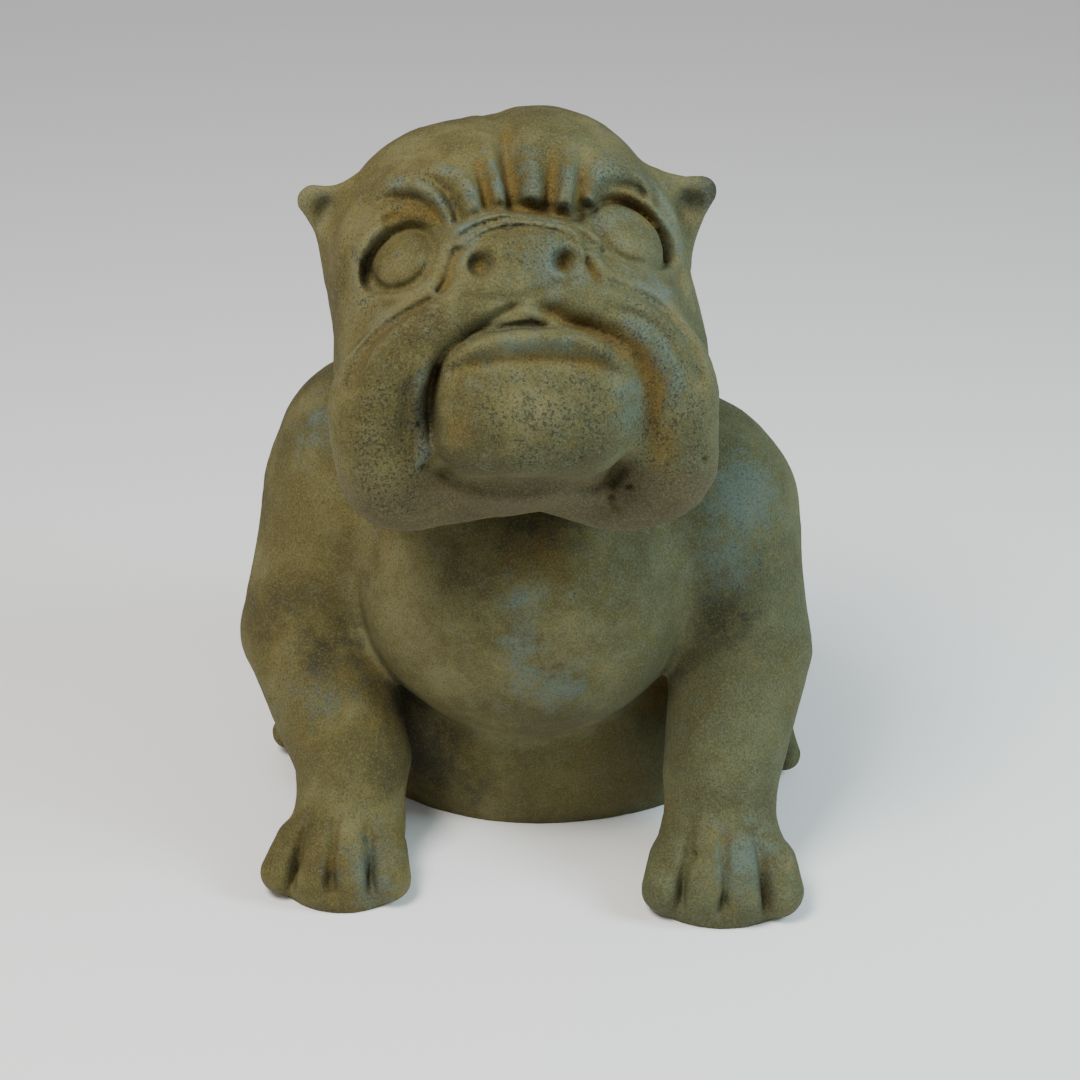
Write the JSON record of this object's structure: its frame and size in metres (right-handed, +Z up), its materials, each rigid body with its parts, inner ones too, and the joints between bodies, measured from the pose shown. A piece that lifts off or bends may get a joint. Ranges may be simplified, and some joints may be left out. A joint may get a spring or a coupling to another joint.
{
  "type": "bulldog garden statue",
  "caption": "Seated bulldog figure in cast stone, with a wrinkled face, hanging lips and broad paws, that stands on the ground by its own weight.",
  "frame": {"origin": "on the ground under the middle of the figure's bounding box", "axes": "-Y the way the body faces, +X the dog's left side, +Z up"},
  "size_m": [0.3068, 0.3406, 0.4],
  "materials": {
    "cast_stone": "weathered cast stone, mottled olive and brown, ochre in the folds, grey-green patches and small dark pits"
  },
  "bodies": {
    "root": {"bulldog": "cast_stone"}
  },
  "joints": []
}
